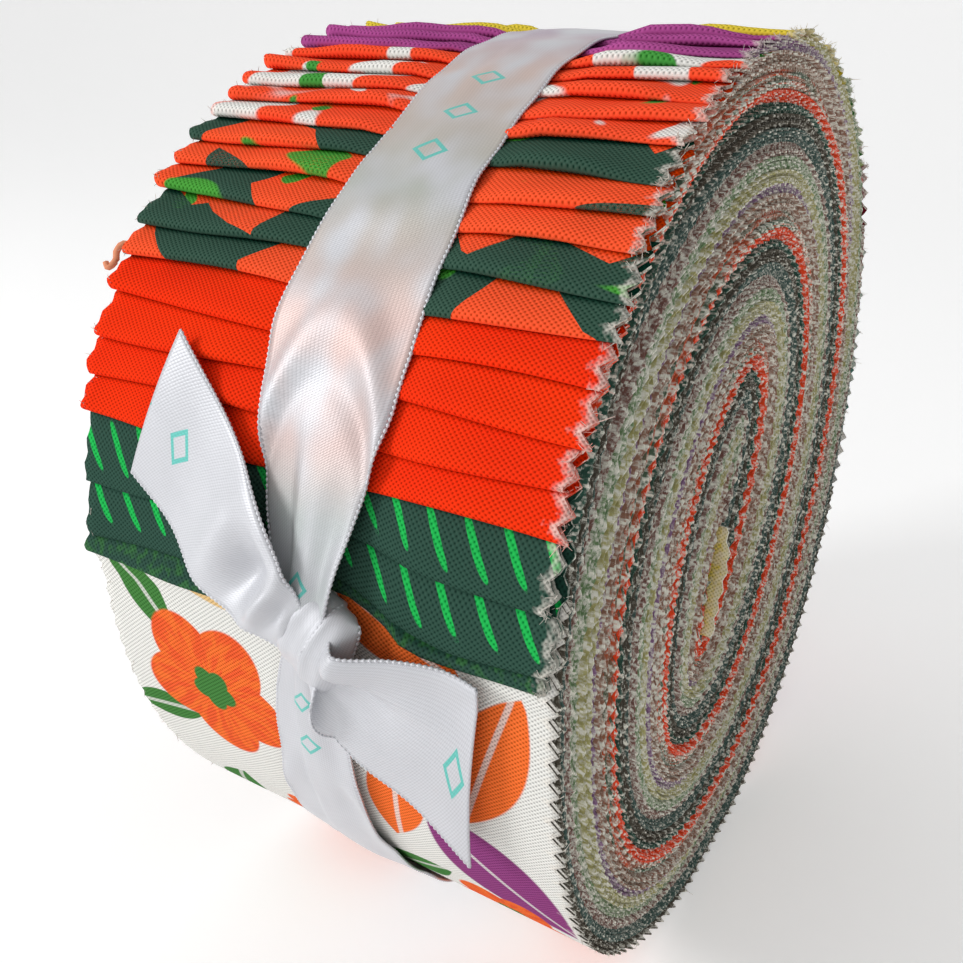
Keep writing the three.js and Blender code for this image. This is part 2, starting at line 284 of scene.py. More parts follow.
class GridMesh:
    """One mesh made of several grids of points, with numbers kept at each point."""

    def __init__(self, marks: tuple[str, ...]) -> None:
        """Starts an empty mesh.

        Args:
            marks: Names of the numbers that each point keeps.
        """
        self.shape = bmesh.new()
        self.points: list[np.ndarray] = []
        self.marks: dict[str, list[np.ndarray]] = {name: [] for name in marks}

    def add(self, points: np.ndarray, **marks: np.ndarray) -> None:
        """Adds a grid.

        Args:
            points: Rows and columns of points in millimetres.
            marks: A number or an array for each named mark.
        """
        rows, columns = points.shape[:2]
        bmesh.ops.create_grid(self.shape, x_segments=columns - 1, y_segments=rows - 1, size=1.0)
        self.points.append(points.reshape(-1, 3) * MM)
        for name, kept in self.marks.items():
            kept.append(np.broadcast_to(marks[name], (rows, columns)).ravel())

    def add_many(self, points: np.ndarray, **marks: np.ndarray) -> None:
        """Adds many grids of one size.

        Args:
            points: Grids, rows and columns of points in millimetres.
            marks: An array with a number for each grid, for each named mark.
        """
        count, rows, columns = points.shape[:3]
        tall = points.reshape(count * rows, columns, 3)
        start = len(self.shape.faces)
        self.add(tall, **{name: np.repeat(values, rows)[:, None] for name, values in marks.items()})
        self.shape.faces.ensure_lookup_table()
        between = (np.arange((count * rows - 1) * (columns - 1)) // (columns - 1)) % rows == rows - 1
        joints = [self.shape.faces[start + int(index)] for index in np.flatnonzero(between)]
        bmesh.ops.delete(self.shape, geom=joints, context="FACES")

    def weld(self, name: str) -> bpy.types.Object:
        """Makes the object of that name and links it to the scene."""
        mesh = bpy.data.meshes.new(name)
        self.shape.to_mesh(mesh)
        self.shape.free()
        mesh.vertices.foreach_set("co", np.concatenate(self.points).astype(np.float32).ravel())
        for mark, kept in self.marks.items():
            layer = mesh.attributes.new(mark, "FLOAT", "POINT")
            layer.data.foreach_set("value", np.concatenate(kept).astype(np.float32))
        mesh.shade_smooth()
        mesh.update()
        piece = bpy.data.objects.new(name, mesh)
        bpy.context.scene.collection.objects.link(piece)
        return piece


def thicken(piece: bpy.types.Object, thickness: float, shells: bool) -> None:
    """Gives a sheet its thickness, half of it on each side.

    Args:
        piece: The sheet.
        thickness: Thickness in millimetres.
        shells: Whether the back and the cut edge have materials of their own.
    """
    solid = piece.modifiers.new("thickness", "SOLIDIFY")
    solid.thickness = thickness * MM
    solid.offset = 0.0
    solid.use_rim = True
    if shells:
        solid.material_offset = 1
        solid.material_offset_rim = 2


class Tree:
    """A material's node tree."""

    def __init__(self, name: str) -> None:
        """Starts an empty material of that name."""
        self.material = bpy.data.materials.new(name)
        self.material.use_nodes = True
        self.nodes = self.material.node_tree.nodes
        self.links = self.material.node_tree.links
        self.nodes.clear()

    def make(
        self, kind: str, settings: dict | None = None, inputs: dict | None = None, out: int = 0
    ) -> "Field":
        """Adds a node.

        Args:
            kind: The node's type.
            settings: Its properties, and its ramp's stops as "stops".
            inputs: Values or links of its sockets, by name or number.
            out: Number of the output to use.
        Returns:
            That output.
        """
        node = self.nodes.new(kind)
        for name, value in (settings or {}).items():
            if name == "stops":
                self.set_stops(node.color_ramp, value)
            else:
                setattr(node, name, value)
        for key, value in (inputs or {}).items():
            socket = node.inputs[key]
            if isinstance(value, Field):
                self.links.new(value.socket, socket)
            elif socket.type == "RGBA" and len(value) == 3:
                socket.default_value = (*value, 1.0)
            else:
                socket.default_value = value
        return Field(self, node.outputs[out])

    @staticmethod
    def set_stops(ramp: bpy.types.ColorRamp, stops: list[tuple[float, Colour]]) -> None:
        """Puts the stops on a colour ramp."""
        while len(ramp.elements) < len(stops):
            ramp.elements.new(0.5)
        for element, (place, colour) in zip(ramp.elements, stops):
            element.position = place
            element.color = (*colour, 1.0)

    def mark(self, name: str) -> "Field":
        """A number that the piece's points keep."""
        return self.make("ShaderNodeAttribute", {"attribute_name": name}, out=2)

    def vector(self, x: "Field | float", y: "Field | float", z: "Field | float" = 0.0) -> "Field":
        """A vector of three values."""
        return self.make("ShaderNodeCombineXYZ", None, {0: x, 1: y, 2: z})

    def mix(self, share: "Field | float", first: "Field | Colour", second: "Field | Colour") -> "Field":
        """A colour between two, the second where the share is 1."""
        return self.make("ShaderNodeMix", {"data_type": "RGBA"}, {0: share, 6: first, 7: second}, out=2)

    def shade(self, colour: "Field", share: "Field") -> "Field":
        """A colour times a value."""
        grey = self.make("ShaderNodeCombineColor", None, {0: share, 1: share, 2: share})
        kind = {"data_type": "RGBA", "blend_type": "MULTIPLY"}
        return self.make("ShaderNodeMix", kind, {0: 1.0, 6: colour, 7: grey}, out=2)

    def noise(self, place: "Field", scale: float, detail: float = 2.0, bend: float = 0.0) -> "Field":
        """Smooth noise at a place."""
        return self.make(
            "ShaderNodeTexNoise", {"noise_dimensions": "3D"},
            {"Vector": place, "Scale": scale, "Detail": detail, "Distortion": bend})

    def chance(self, place: "Field") -> "Field":
        """A random value for each whole-numbered place."""
        return self.make("ShaderNodeTexWhiteNoise", {"noise_dimensions": "3D"}, {"Vector": place})

    def finish(
        self, inputs: dict, height: "Field | None" = None, bump: float = 0.0, depth: float = 0.0
    ) -> None:
        """Adds the shader and the output.

        Args:
            inputs: Values or links of the shader's sockets.
            height: Heights for the bump, from 0 to 1.
            bump: Strength of the bump.
            depth: Depth of the bump in millimetres.
        """
        sockets = dict(inputs)
        if height is not None:
            sockets["Normal"] = self.make(
                "ShaderNodeBump", None, {"Strength": bump, "Distance": depth * MM, "Height": height})
        shader = self.make("ShaderNodeBsdfPrincipled", None, sockets)
        output = self.nodes.new("ShaderNodeOutputMaterial")
        self.links.new(shader.socket, output.inputs[0])


def math_node(operation: str, swapped: bool = False) -> Callable[..., "Field"]:
    """A method of Field that adds a Math node.

    Args:
        operation: The node's operation.
        swapped: Whether the field is the second value.
    Returns:
        The method.
    """

    def method(self: "Field", other: "Field | float" = 0.0) -> "Field":
        """The field and another value through that node."""
        first, second = (other, self) if swapped else (self, other)
        return self.tree.make("ShaderNodeMath", {"operation": operation}, {0: first, 1: second})

    return method


class Field:
    """One output of a shader node; arithmetic on it adds Math nodes."""

    __add__ = math_node("ADD")
    __radd__ = math_node("ADD", swapped=True)
    __sub__ = math_node("SUBTRACT")
    __rsub__ = math_node("SUBTRACT", swapped=True)
    __mul__ = math_node("MULTIPLY")
    __truediv__ = math_node("DIVIDE")
    __pow__ = math_node("POWER")
    __abs__ = math_node("ABSOLUTE")
    sine = math_node("SINE")
    whole = math_node("FLOOR")
    part = math_node("FRACT")
    top = math_node("MAXIMUM")
    turn_from = math_node("ARCTAN2")

    def __init__(self, tree: Tree, socket: bpy.types.NodeSocket) -> None:
        """Wraps a socket of a tree."""
        self.tree = tree
        self.socket = socket

    def below(self, edge: "Field | float", soft: float) -> "Field":
        """1 where the value is under an edge, 0 past it, with a soft border."""
        return self.tree.make(
            "ShaderNodeMapRange", {"interpolation_type": "SMOOTHSTEP"},
            {0: (self - edge) / soft, 1: -0.5, 2: 0.5, 3: 1.0, 4: 0.0})


class Print(Enum):
    """The printed patterns."""

    PLAIN = auto()
    DASHES = auto()
    CUT_LEAVES = auto()
    PETALS = auto()
    POSY = auto()
    DOTS = auto()


@dataclass(frozen=True)
class Cotton:
    """Printed plain-weave cotton."""

    name: str
    strips: int
    pattern: Print
    ground: Colour
    second: Colour
    third: Colour
    edge: Colour
    pale: float = 0.3
    crown: float = 0.05
    thread: float = 0.66
    tile: float = 56.0
    run: float = 0.0
    back_pale: float = 0.55

    def dashes(self, tree: Tree, along: Field, across: Field, strip: Field) -> Field:
        """Slanting dashes in rows, one row to each folded end."""
        pitch, half, middle, length = 4.4, 0.115, 3.9, 5.0
        lane = (across + along * 0.75 + strip * 1.7) / pitch
        chance = tree.chance(tree.vector(lane.whole(), strip))
        beside = abs(lane.part() - 0.5) / half
        past = abs(along - middle - chance * 0.9) / (length * 0.5)
        lip = strip.below(0.5, 0.1)
        mottle = tree.noise(tree.vector(along, across), 0.8, 2.0).below(0.46, 0.2)
        colour = tree.mix(lip * mottle * 0.6, self.ground, srgb(52, 112, 52))
        return tree.mix((beside**2.0 + past**4.0).below(1.0, 0.35) * (1.0 - lip), colour, self.second)

    def cut_leaves(self, tree: Tree, along: Field, across: Field, strip: Field) -> Field:
        """Large cut-out shapes of two colours with a few bright slips between them."""
        pair = (strip * 0.5).whole() * 0.4
        place = tree.vector(along * 0.11 + strip * 3.3, across * 0.075 + along * 0.03, pair)
        cell = tree.make(
            "ShaderNodeTexVoronoi", {"voronoi_dimensions": "3D"}, {"Vector": place, "Scale": 1.0}, out=1)
        kind = tree.make("ShaderNodeSeparateColor", None, {0: cell})
        slip = tree.noise(place, 1.3, 0.0, 0.4)
        colour = tree.mix(kind.below(0.46, 0.02), self.ground, self.second)
        return tree.mix(slip.below(0.285, 0.02) * kind.below(0.8, 0.02), colour, self.third)

    def petals(self, tree: Tree, along: Field, across: Field, strip: Field) -> Field:
        """Loose pale petals on a bright ground."""
        place = tree.vector(along * 0.07 + strip * 2.9, across * 0.075, strip * 0.61)
        petal = tree.noise(place, 1.0, 0.6, 1.2)
        leaf = tree.noise(place, 1.6, 0.0, 0.5)
        colour = tree.mix(petal.below(0.455, 0.03), self.ground, self.second)
        return tree.mix(leaf.below(0.3, 0.02) * petal.below(0.5, 0.03), colour, self.third)

    def dots(self, tree: Tree, along: Field, across: Field, strip: Field) -> Field:
        """Small round sprigs in staggered rows."""
        pitch = 6.0
        row = (along / pitch).whole()
        lane = across / pitch + row * 0.5 + strip * 0.31
        spot = ((along / pitch).part() - 0.5) ** 2.0 + (lane.part() - 0.5) ** 2.0
        colour = tree.mix(spot.below(0.055, 0.02), self.ground, self.second)
        return tree.mix(spot.below(0.008, 0.006), colour, self.third)

    def posy(self, tree: Tree, along: Field, across: Field, strip: Field) -> Field:
        """Round flowers with leaves and bold leaf shapes, repeated along the strip."""
        run = ((along + strip * 17.0) / self.tile).part() * self.tile
        green, tan, plum = srgb(46, 118, 40), srgb(228, 190, 128), srgb(136, 42, 118)
        colour: Field | Colour = self.ground
        # Leaves: place along, place across, half length, half width, turn in degrees, colour
        leaves = (
            (52, -10, 8, 4.2, 70, tan), (6, -24, 9, 3.4, 30, green), (46, -25, 8, 3.0, -35, green),
            (18, 22, 13, 6.5, -38, plum), (38, 23, 12, 4.6, 24, self.second),
            (52, 13, 10, 4.4, -60, self.second), (8, 6, 9, 3.6, 60, green),
            (28, 10, 10, 4.0, 14, self.second), (26, -27, 7, 2.6, 80, green),
        )
        for place, side, length, width, turn, tint in leaves:
            cos, sin = math.cos(math.radians(turn)), math.sin(math.radians(turn))
            forth = (run - place) * cos + (across - side) * sin
            over = (across - side) * cos - (run - place) * sin
            rim = abs(over) / width + (forth / length) ** 2.0
            vein = abs(over + forth * 0.08).below(0.35, 0.25)
            colour = tree.mix(rim.below(1.0, 0.08), colour, tree.mix(vein * 0.7, tint, self.ground))
        # Flowers: place along, place across, radius, petals
        flowers = ((34, -16, 11.5, 5), (8, -9, 6.0, 6), (4, 20, 8.5, 5))
        for place, side, radius, petals in flowers:
            forth, over = run - place, across - side
            distance = (forth * forth + over * over) ** 0.5
            turn = over.turn_from(forth)
            rim = 0.74 + abs((turn * (petals / 2.0)).sine()) * 0.26
            streak = tree.noise(tree.vector(turn * 3.0, distance * 0.12, strip), 2.0, 2.0)
            petal = tree.mix(streak.below(0.5, 0.2), self.second, self.third)
            colour = tree.mix((distance / rim).below(radius, 0.5), colour, petal)
            colour = tree.mix((distance / rim).below(radius * 0.3, 0.4), colour, green)
        return colour

    def printed(self, tree: Tree, along: Field, across: Field, strip: Field) -> Field:
        """The print's colour."""
        makers = {
            Print.DASHES: self.dashes, Print.CUT_LEAVES: self.cut_leaves, Print.PETALS: self.petals,
            Print.POSY: self.posy, Print.DOTS: self.dots,
        }
        if self.pattern is Print.PLAIN:
            tone = tree.noise(tree.vector(along * 0.08, across * 0.05, strip), 1.0, 2.0)
            return tree.mix(tone.below(0.5, 0.5), self.ground, self.second)
        return makers[self.pattern](tree, along, across, strip)

    def weave(self, along: Field, across: Field) -> Field:
        """Height of the crossing threads, from 0 in the gaps to 1."""
        turn = 2.0 * math.pi / self.thread
        return 0.5 - (along * (turn * 1.2)).sine() * (across * turn).sine() * 0.5

    def face(self, back: bool) -> bpy.types.Material:
        """Material of one side of the cloth, with painted shade under the edge of the strip over it and in
        the gaps between threads.

        Args:
            back: Whether it is the paler wrong side.
        Returns:
            The material.
        """
        tree = Tree(f"{self.name}_{'back' if back else 'face'}")
        along, across, strip = tree.mark("along"), tree.mark("across"), tree.mark("strip")
        colour = self.printed(tree, along, across, strip)
        threads = self.weave(along, across)
        # The gaps between the threads are painted darker as shade, on top of the bump's relief
        hole = (1.0 - threads) ** 2.5
        fluff = tree.noise(tree.vector(along, across, strip), 1.5, 1.0)
        frayed = (tree.mark("from_edge") + fluff * 2.4).below(1.9, 1.6) * (0.75 - hole * 0.5)
        # Painted shade: cloth lying just under the edge of the strip over it is darkened and loses its pale
        # crowns
        under = tree.mark("open").below(0.3, 0.9)
        pale = self.back_pale if back else frayed.top((1.0 - hole) * self.crown) * (1.0 - under)
        colour = tree.shade(colour, (1.1 - hole * 0.72) * (1.0 - under * 0.42))
        colour = tree.mix(pale, colour, UNDYED)
        inputs = {"Base Color": colour, "Roughness": 0.9, "Specular IOR Level": 0.03}
        tree.finish(inputs, threads, 0.7, 0.12)
        return tree.material

    def cut(self) -> bpy.types.Material:
        """Material of the pinked edge, where single threads end pale among dyed ones, with painted shade in
        the hollows between the teeth.
        """
        tree = Tree(f"{self.name}_edge")
        along, across, strip, tip = (tree.mark(name) for name in ("along", "across", "strip", "tip"))
        fleck = tree.noise(tree.vector(along, strip * 5.0, across * 0.6), 2.0, 2.0)
        thread = tree.chance(tree.vector((along / 0.3).whole(), strip, (across / 0.4).whole()))
        run = tree.noise(tree.vector(along * 0.05, strip), 1.0, 1.0)
        dyed = tree.mix(run.below(0.5, 0.12) * self.run, self.edge, self.second)
        # Pale where cut threads end; the tip term also paints the tooth tips lighter
        light = tip * 0.3 + fleck * 0.9 + thread * 0.25 + 0.06
        colour = tree.mix((1.0 - light).below(self.pale, 0.3), dyed, THREAD_END)
        # Painted shade and light: hollows between the teeth are darkened and the tips lightened, with a
        # random tone for each thread
        colour = tree.shade(colour, 0.52 + tip * 0.6 + thread * 0.25)
        tree.finish({"Base Color": colour, "Roughness": 0.95, "Specular IOR Level": 0.1}, thread, 0.3, 0.1)
        return tree.material


ORANGE = srgb(246, 52, 0)
WHITE = srgb(228, 227, 222)
UNDYED = srgb(232, 226, 216)
THREAD_END = srgb(218, 216, 204)
FRAYED = srgb(232, 222, 212)
# From the innermost strip of the stack to the outermost one
COTTONS = (
    Cotton("deep_green", 3, Print.DASHES, srgb(36, 72, 60), srgb(12, 176, 76), ORANGE,
           edge=srgb(50, 84, 72), pale=0.1, crown=0.02),
    Cotton("orange_red", 4, Print.PLAIN, ORANGE, srgb(236, 42, 0), ORANGE,
           edge=srgb(230, 72, 34), pale=0.08, crown=0.01),
    Cotton("cut_leaves", 5, Print.CUT_LEAVES, srgb(12, 66, 50), srgb(246, 72, 2), srgb(52, 150, 34),
           edge=srgb(84, 106, 86), pale=0.16, run=0.6),
    Cotton("petals", 5, Print.PETALS, srgb(248, 66, 2), WHITE, srgb(46, 146, 44),
           edge=srgb(150, 110, 92), pale=0.18),
    Cotton("purple", 3, Print.PLAIN, srgb(176, 66, 146), srgb(150, 48, 124), WHITE,
           edge=srgb(140, 104, 142), pale=0.18),
    Cotton("yellow", 4, Print.DOTS, srgb(222, 198, 44), srgb(236, 222, 130), srgb(228, 120, 30),
           edge=srgb(170, 165, 108), pale=0.18),
    Cotton("leaf_green", 4, Print.DOTS, srgb(74, 132, 56), srgb(206, 220, 150), WHITE,
           edge=srgb(112, 140, 98), pale=0.2),
    Cotton("wine_red", 4, Print.DOTS, srgb(122, 24, 38), srgb(206, 90, 90), WHITE,
           edge=srgb(126, 88, 80), pale=0.18),
    Cotton("teal", 4, Print.CUT_LEAVES, srgb(24, 88, 84), srgb(110, 168, 152), WHITE,
           edge=srgb(70, 92, 86), pale=0.1),
    # Painted shade: the posy's cut edges are dark grey-brown with few pale ends, far darker than its white
    # ground, for the shadowed outer layers at the roll's end
    Cotton("posy", 4, Print.POSY, WHITE, srgb(242, 104, 14), srgb(232, 78, 4),
           edge=srgb(80, 74, 64), pale=0.06),
)


@dataclass
class StripStack:
    """The folded strips, each one sheet that runs out to its fold and back to the core."""

    form: RollForm
    pitch: float = 2.6
    pink: float = 1.3
    far_pink: float = 0.4
    wound_pink: float = 0.55
    thickness: float = 0.2
    end_length: float = 10.5
    fade: float = 8.0
    nose: float = 1.15
    puff: float = 1.2
    band_half: float = 8.0
    band_seat: float = 0.45
    columns: int = 25
    # Swellings along a folded end: length, height
    lumps: tuple[tuple[float, float], ...] = ((11.0, 0.22), (6.1, 0.16), (3.4, 0.08))
    core_strip: int = 21
    core_length: float = 15.6
    core_print: float = 21.0
    dice: np.random.Generator = field(default_factory=lambda: np.random.default_rng(SEED))
    fringe: list[tuple[np.ndarray, float, int]] = field(default_factory=list)

    def path(self, strip: int, half: float) -> tuple[np.ndarray, np.ndarray]:
        """The way of one half of a strip.

        Args:
            strip: Number of the strip.
            half: 0.25 for the inner half, 0.75 for the outer one.
        Returns:
            Distances from the fold and the winding angles there.
        """
        end = float(self.form.fold_angle(strip, np.array(0.0)))
        start = self.form.core_start - self.form.strip_turn * strip + 1.0
        angles = np.linspace(end, start, 1600)
        points = self.form.place(0.0, angles, self.form.level(strip + half, angles), 0.0)
        steps = np.linalg.norm(np.diff(points, axis=0), axis=1)
        return np.concatenate([[0.0], np.cumsum(steps)]), angles

    def tooth(self, away: np.ndarray, length: float, phase: float) -> np.ndarray:
        """How far the pinked edge draws in, from 0 at a tooth's tip to its depth.

        Args:
            away: Distances from the fold.
            length: Length from the fold to the core, where the teeth of all strips start.
            phase: Share of a tooth by which this strip's teeth are off.
        Returns:
            Distances from the strip's full width.
        """
        return self.pink * np.abs(np.mod((length - away) / self.pitch + phase, 1.0) * 2.0 - 1.0)

    def stray(self, along: np.ndarray, shape: np.ndarray) -> np.ndarray:
        """How far a strip lies to one side of the others along its way."""
        shift, swing, phase = shape
        return 0.45 * shift + 0.3 * swing * np.sin(along / 55.0 + 6.3 * phase)

    def ribbon_share(self, x: np.ndarray, angle: np.ndarray) -> np.ndarray:
        """1 under the ribbon, falling to 0 a little way beside it."""
        away = np.abs(x - self.form.band_middle(angle)) - self.band_half
        return 1.0 - ease(away / 4.5 + 0.15)

    def wound(self, mesh: GridMesh, strip: int, shape: np.ndarray, phase: float) -> float:
        """Adds the two long halves that lie between other strips.

        Args:
            mesh: The mesh to add to.
            strip: Number of the strip.
            shape: How the strip strays.
            phase: Where its pinked teeth start.
        Returns:
            Length of strip added.
        """
        added = 0.0
        for half, side in ((0.25, -1.0), (0.75, 1.0)):
            distances, angles = self.path(strip, half)
            away = np.arange(self.bare(strip), distances[-1], self.pitch / 2.0)
            turned = np.interp(away, distances, angles)[:, None]
            along = side * away[:, None]
            tooth = self.tooth(away[:, None], distances[-1], phase)
            level = self.form.level(strip + half, turned)
            drawn = self.form.drawn_in(level / self.form.top_level(turned))
            edge = self.form.half_width - self.wound_pink * (tooth + 0.4) - drawn
            x = np.concatenate([-edge, edge], axis=1) + self.stray(along, shape)
            points = self.form.place(x, turned, level, 0.0)
            order = slice(None) if side > 0 else slice(None, None, -1)
            mesh.add(
                points[order], along=along[order], across=x[order], strip=strip, from_edge=0.0,
                tip=1.0 - tooth[order] / self.pink, open=UNCOVERED)
            added += away[-1] - away[0]
        return added

    def bare(self, strip: int) -> float:
        """Length of the folded end that is modelled finely: the whole last turn on the outermost strip."""
        if strip < self.form.strips - 1:
            return self.end_length
        distances, angles = self.path(strip, 0.75)
        under = self.form.last_fold - 360.0 - 8.0
        return self.pitch * math.ceil(float(np.interp(-under, -angles, distances)) / self.pitch)

    def swell(self, strip: int, x: np.ndarray, angle: np.ndarray) -> np.ndarray:
        """Height by which a folded end bulges at each place along it."""
        lumps = np.zeros_like(x)
        for length, size in self.lumps:
            lumps = lumps + size * np.sin(x / length * 2.0 + self.dice.uniform(0.0, 6.3))
        flare = 0.22 * ease((-x - 24.0) / 8.0) - 0.55 * ease((x - 20.0) / 10.0)
        if strip < 3:
            flare = flare - 0.9 * ease((-x - 8.0) / 20.0)
        if strip == 0:
            flare = flare + 0.4
        return self.puff * (1.0 + lumps + flare) * (1.0 - 0.62 * self.ribbon_share(x, angle))

    def folded_end(self, mesh: GridMesh, strip: int, shape: np.ndarray, phase: float) -> float:
        """Adds the folded end that shows, from under the next strip round its fold and back.

        Args:
            mesh: The mesh to add to.
            strip: Number of the strip.
            shape: How the strip strays.
            phase: Where its pinked teeth start.
        Returns:
            Length of strip added.
        """
        outermost = strip == self.form.strips - 1
        bare = self.bare(strip)
        far = np.arange(bare, self.nose, -self.pitch / 4.0)
        near = self.nose * np.array([0.65, 0.32, 0.12, 0.02])
        inner = np.concatenate([far, near])
        away = np.concatenate([inner, [0.0], inner[::-1]])[:, None]
        outer = (np.arange(len(away)) > len(inner))[:, None]
        along = np.where(outer, away, -away)
        inside = np.linspace(-1.0, 1.0, self.columns)[None, :] * (self.form.half_width - self.pink - 0.15)
        tooth = self.tooth(away, self.path(strip, 0.25)[0][-1], phase)
        edge = self.form.half_width - tooth
        far_edge = self.form.half_width - self.far_pink * (self.form.half_width - edge)
        x = np.concatenate([-far_edge, np.repeat(inside, len(away), axis=0), edge], axis=1)
        from_edge = edge - x
        x = x + self.stray(along, shape)
        turned = np.zeros_like(x)
        for half, rows in ((0.25, ~outer[:, 0]), (0.75, outer[:, 0])):
            distances, angles = self.path(strip, half)
            turned[rows] = np.interp(away[rows], distances, angles)
        reach = 1.0 - ease((away - bare + self.fade) / self.fade)
        straight = self.form.fold_angle(strip, np.array(0.0))
        turned = turned + (self.form.fold_angle(strip, x) - straight) * reach
        # How far the cloth lies out from under the strip over it; the face material paints shade where this
        # is small
        cover = self.form.fold_angle(min(strip + 1, self.form.strips - 1), x)
        open_by = np.radians(turned - cover) * self.form.start_radius
        if outermost:
            open_by = np.full_like(x, UNCOVERED)
        swell = self.swell(strip, x, turned)
        height = self.form.layer_gap + swell * (1.0 - ease(away / (self.form.exposure(strip) + 1.2)))
        rounding = np.sqrt(np.clip(1.0 - (1.0 - np.minimum(away / self.nose, 1.0)) ** 2, 0.0, 1.0))
        middle = 0.5 * height
        lift = np.where(outer, middle + middle * rounding - self.form.layer_gap, middle * (1.0 - rounding))
        lift = lift - self.band_seat * self.ribbon_share(x, turned) * (1.0 - ease(away / self.end_length))
        level = self.form.level(strip + np.where(outer, 0.75, 0.25), turned)
        points = self.form.place(x, turned, level, lift)
        mesh.add(
            points, along=along, across=x, strip=strip, from_edge=from_edge,
            tip=1.0 - tooth / self.pink, open=open_by)
        shown = outer[:, 0] & (away[:, 0] < min(bare, self.form.exposure(strip) + 1.0))
        if outermost:
            shown = outer[:, 0]
        self.fringe.append((points[shown, 0], -1.0, strip))
        self.fringe.append((points[shown, -1], 1.0, strip))
        return 2.0 * bare

    def core_end(self, mesh: GridMesh, strip: int) -> float:
        """Adds a strip's loose inner end, which stands in the slit of the core and a little way out of it.

        Args:
            mesh: The mesh to add to.
            strip: Number of the strip.
        Returns:
            Length of strip added.
        """
        along = np.arange(0.0, self.core_length, self.pitch / 4.0)[:, None]
        tooth = 0.35 * self.tooth(along, 0.0, 0.0)
        reach = self.form.half_width + 1.0 * ease((self.core_length - along) / 5.0) - tooth
        across = np.concatenate([-self.form.half_width + tooth, 0.9 * reach, 0.96 * reach, reach], axis=1)
        slit = math.radians(self.form.slit_angle)
        up = along - self.form.slit_half + 0.6
        aside = 0.3 * np.sin(along * 0.5) + 0.25 * np.clip(across - self.form.half_width, -1.0, 1.0)
        y = self.form.axis_y + self.form.core_y + up * math.cos(slit) - aside * math.sin(slit)
        z = self.form.axis_z + self.form.core_z + up * math.sin(slit) + aside * math.cos(slit)
        points = np.stack([across, y, z], axis=-1)
        mesh.add(
            points, along=along + self.core_print, across=across, strip=strip,
            from_edge=0.4 * (reach - across), tip=1.0, open=UNCOVERED)
        return self.core_length

    def dress(self, piece: bpy.types.Object, cotton: Cotton, length: float, materials: list) -> None:
        """Args:
            piece: The piece.
            cotton: Its cloth.
            length: Length of strip in it.
            materials: Face, back and edge.
        """
        for material in materials:
            piece.data.materials.append(material)
        thicken(piece, self.thickness, True)
        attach(piece, BODY)
        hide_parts(ROLL_NODE)
        LOG.info("%s: %d strips of %s, %.0f mm long in all", piece.name, cotton.strips, cotton.name, length)

    def build(self) -> None:
        """Makes the wound lengths and the folded ends of every cloth."""
        strip = 0
        marks = ("along", "across", "strip", "from_edge", "tip", "open")
        for cotton in COTTONS:
            wound, ends = GridMesh(marks), GridMesh(marks)
            wound_length = end_length = 0.0
            for _ in range(cotton.strips):
                shape = self.dice.uniform(-1.0, 1.0, 3)
                phase = self.dice.uniform(-0.1, 0.1)
                wound_length += self.wound(wound, strip, shape, phase)
                end_length += self.folded_end(ends, strip, shape, phase)
                if strip == self.core_strip:
                    end_length += self.core_end(ends, strip)
                strip += 1
            edge = cotton.cut()
            self.dress(wound.weld(f"wound_{cotton.name}"), cotton, wound_length, [edge] * 3)
            sides = [cotton.face(False), cotton.face(True), edge]
            self.dress(ends.weld(f"folds_{cotton.name}"), cotton, end_length, sides)


@dataclass
class Fray:
    """Loose thread ends along the cut edges that show, as edges with their side and strip."""

    fringe: list[tuple[np.ndarray, float, int]]
    near_each: int = 6
    far_each: int = 1
    long_edge: int = 40
    radius: float = 0.06
    # A stray yarn end beside the far rim
    yarn: tuple[tuple[float, float, float], ...] = (
        (-30.6, -45.9, 97.2), (-31.9, -47.2, 98.0), (-32.5, -48.0, 97.2), (-32.3, -48.5, 96.2),
        (-32.9, -49.2, 95.4), (-33.5, -49.0, 95.9),
    )
    yarn_radius: float = 0.4
    yarn_steps: int = 15
    dice: np.random.Generator = field(default_factory=lambda: np.random.default_rng(SEED + 1))

    def thread(self, point: np.ndarray, side: float) -> np.ndarray:
        """A thread end at a point of an edge on that side."""
        steps = np.linspace(0.0, 1.0, 4)[:, None]
        way = np.array([side, 0.0, 0.0]) * self.dice.uniform(0.0, 0.8) + self.dice.normal(0.0, 0.5, 3)
        bend = self.dice.normal(0.0, 1.1, 3) - way * self.dice.uniform(0.0, 1.2)
        length = self.dice.uniform(0.15, 0.42) * (4.0 if self.dice.random() < 0.003 else 1.0)
        inset = self.dice.uniform(0.0, 0.7) * side
        line = point - [inset, 0.0, 0.0] + length * (steps * way + steps**2 * bend)
        line[:, 2] = np.maximum(line[:, 2], 2.0 * self.radius)
        return tube(line, self.radius * (1.0 - 0.5 * steps), 3)

    def build(self) -> None:
        """Makes all the thread ends as one piece, each in its cloth's colour or pale."""
        dyes = [cotton.edge for cotton in COTTONS for _ in range(cotton.strips)]
        threads, colours = [], []
        for points, side, strip in self.fringe:
            each = self.near_each if side > 0.0 and len(points) <= self.long_edge else self.far_each
            for point in np.repeat(points, each, axis=0):
                threads.append(self.thread(point, side))
                share = self.dice.uniform(0.35, 1.0)
                colours.append(np.array(dyes[strip]) * (1.0 - share) + np.array(FRAYED) * share)
        mesh = GridMesh(("red", "green", "blue"))
        red, green, blue = np.array(colours).T
        mesh.add_many(np.array(threads), red=red, green=green, blue=blue)
        line = smooth_rows(np.array(self.yarn), self.yarn_steps)
        radius = np.full((self.yarn_steps, 1), self.yarn_radius)
        mesh.add(tube(line, radius, 6), red=0.75, green=0.3, blue=0.17)
        piece = mesh.weld("fray_threads")
        tree = Tree("fray")
        channels = {index: tree.mark(name) for index, name in enumerate(mesh.marks)}
        colour = tree.make("ShaderNodeCombineColor", None, channels)
        tree.finish({"Base Color": colour, "Roughness": 0.95, "Specular IOR Level": 0.1})
        piece.data.materials.append(tree.material)
        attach(piece, BODY)
        LOG.info("%s: %d thread ends", piece.name, len(threads))


